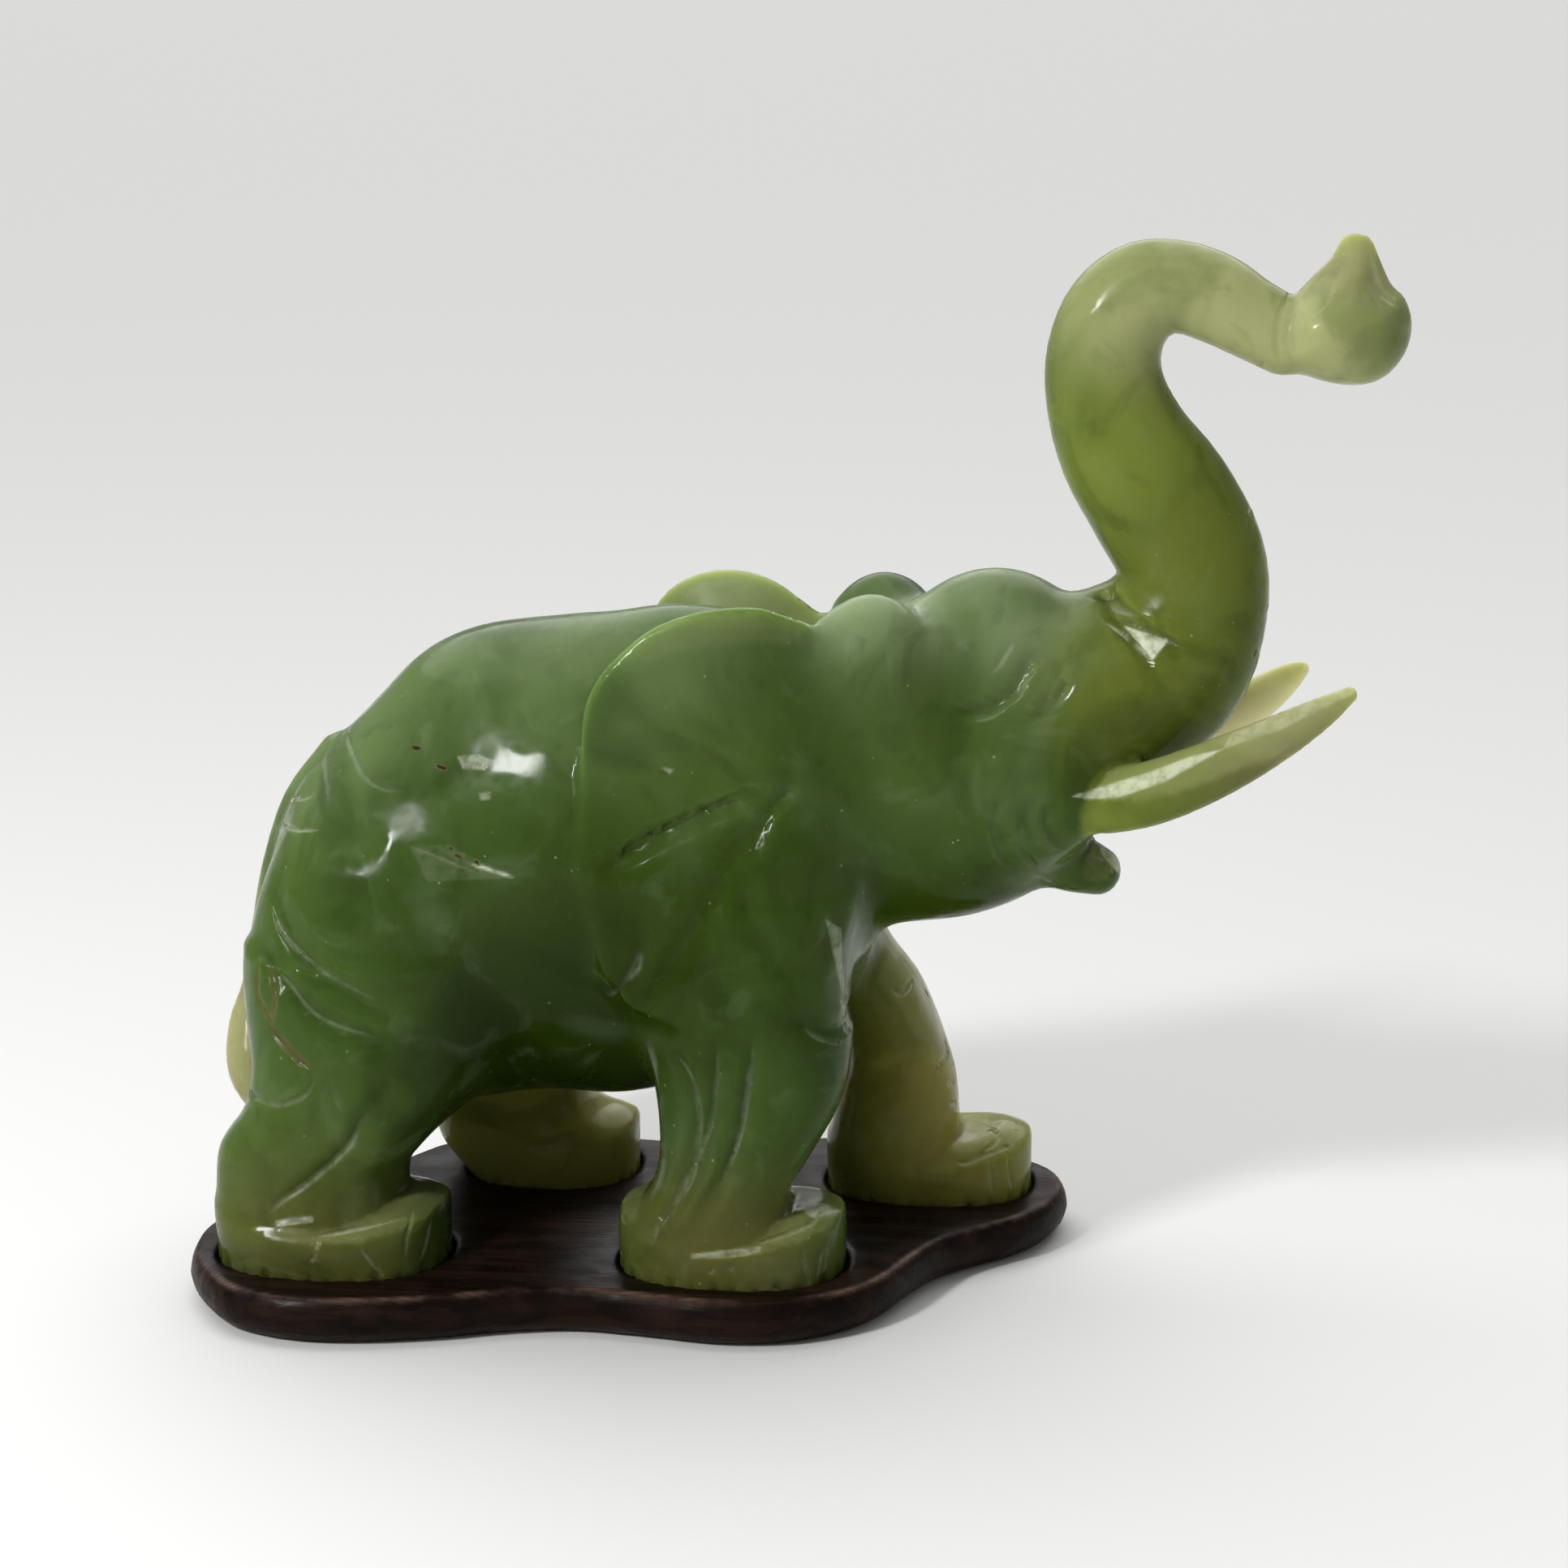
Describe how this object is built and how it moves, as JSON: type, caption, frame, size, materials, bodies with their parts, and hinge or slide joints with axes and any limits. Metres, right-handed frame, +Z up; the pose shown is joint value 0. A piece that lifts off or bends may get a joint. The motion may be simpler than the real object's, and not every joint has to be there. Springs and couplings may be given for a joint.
{
  "type": "carved elephant figurine on a stand",
  "caption": "Polished green jade elephant carved walking with its trunk raised, set in the shallow seats of a fitted dark wooden stand with a wavy outline.",
  "frame": {"origin": "centre of the stand's flat underside, which is the flat face mount named underside", "axes": "+X the way the elephant faces, +Y its left side, +Z up"},
  "size_m": [0.2251, 0.1056, 0.2001],
  "materials": {
    "jade": "polished",
    "dark_wood": "satin"
  },
  "bodies": {
    "root": {"jade_elephant": "jade", "wooden_stand": "dark_wood"}
  },
  "joints": []
}
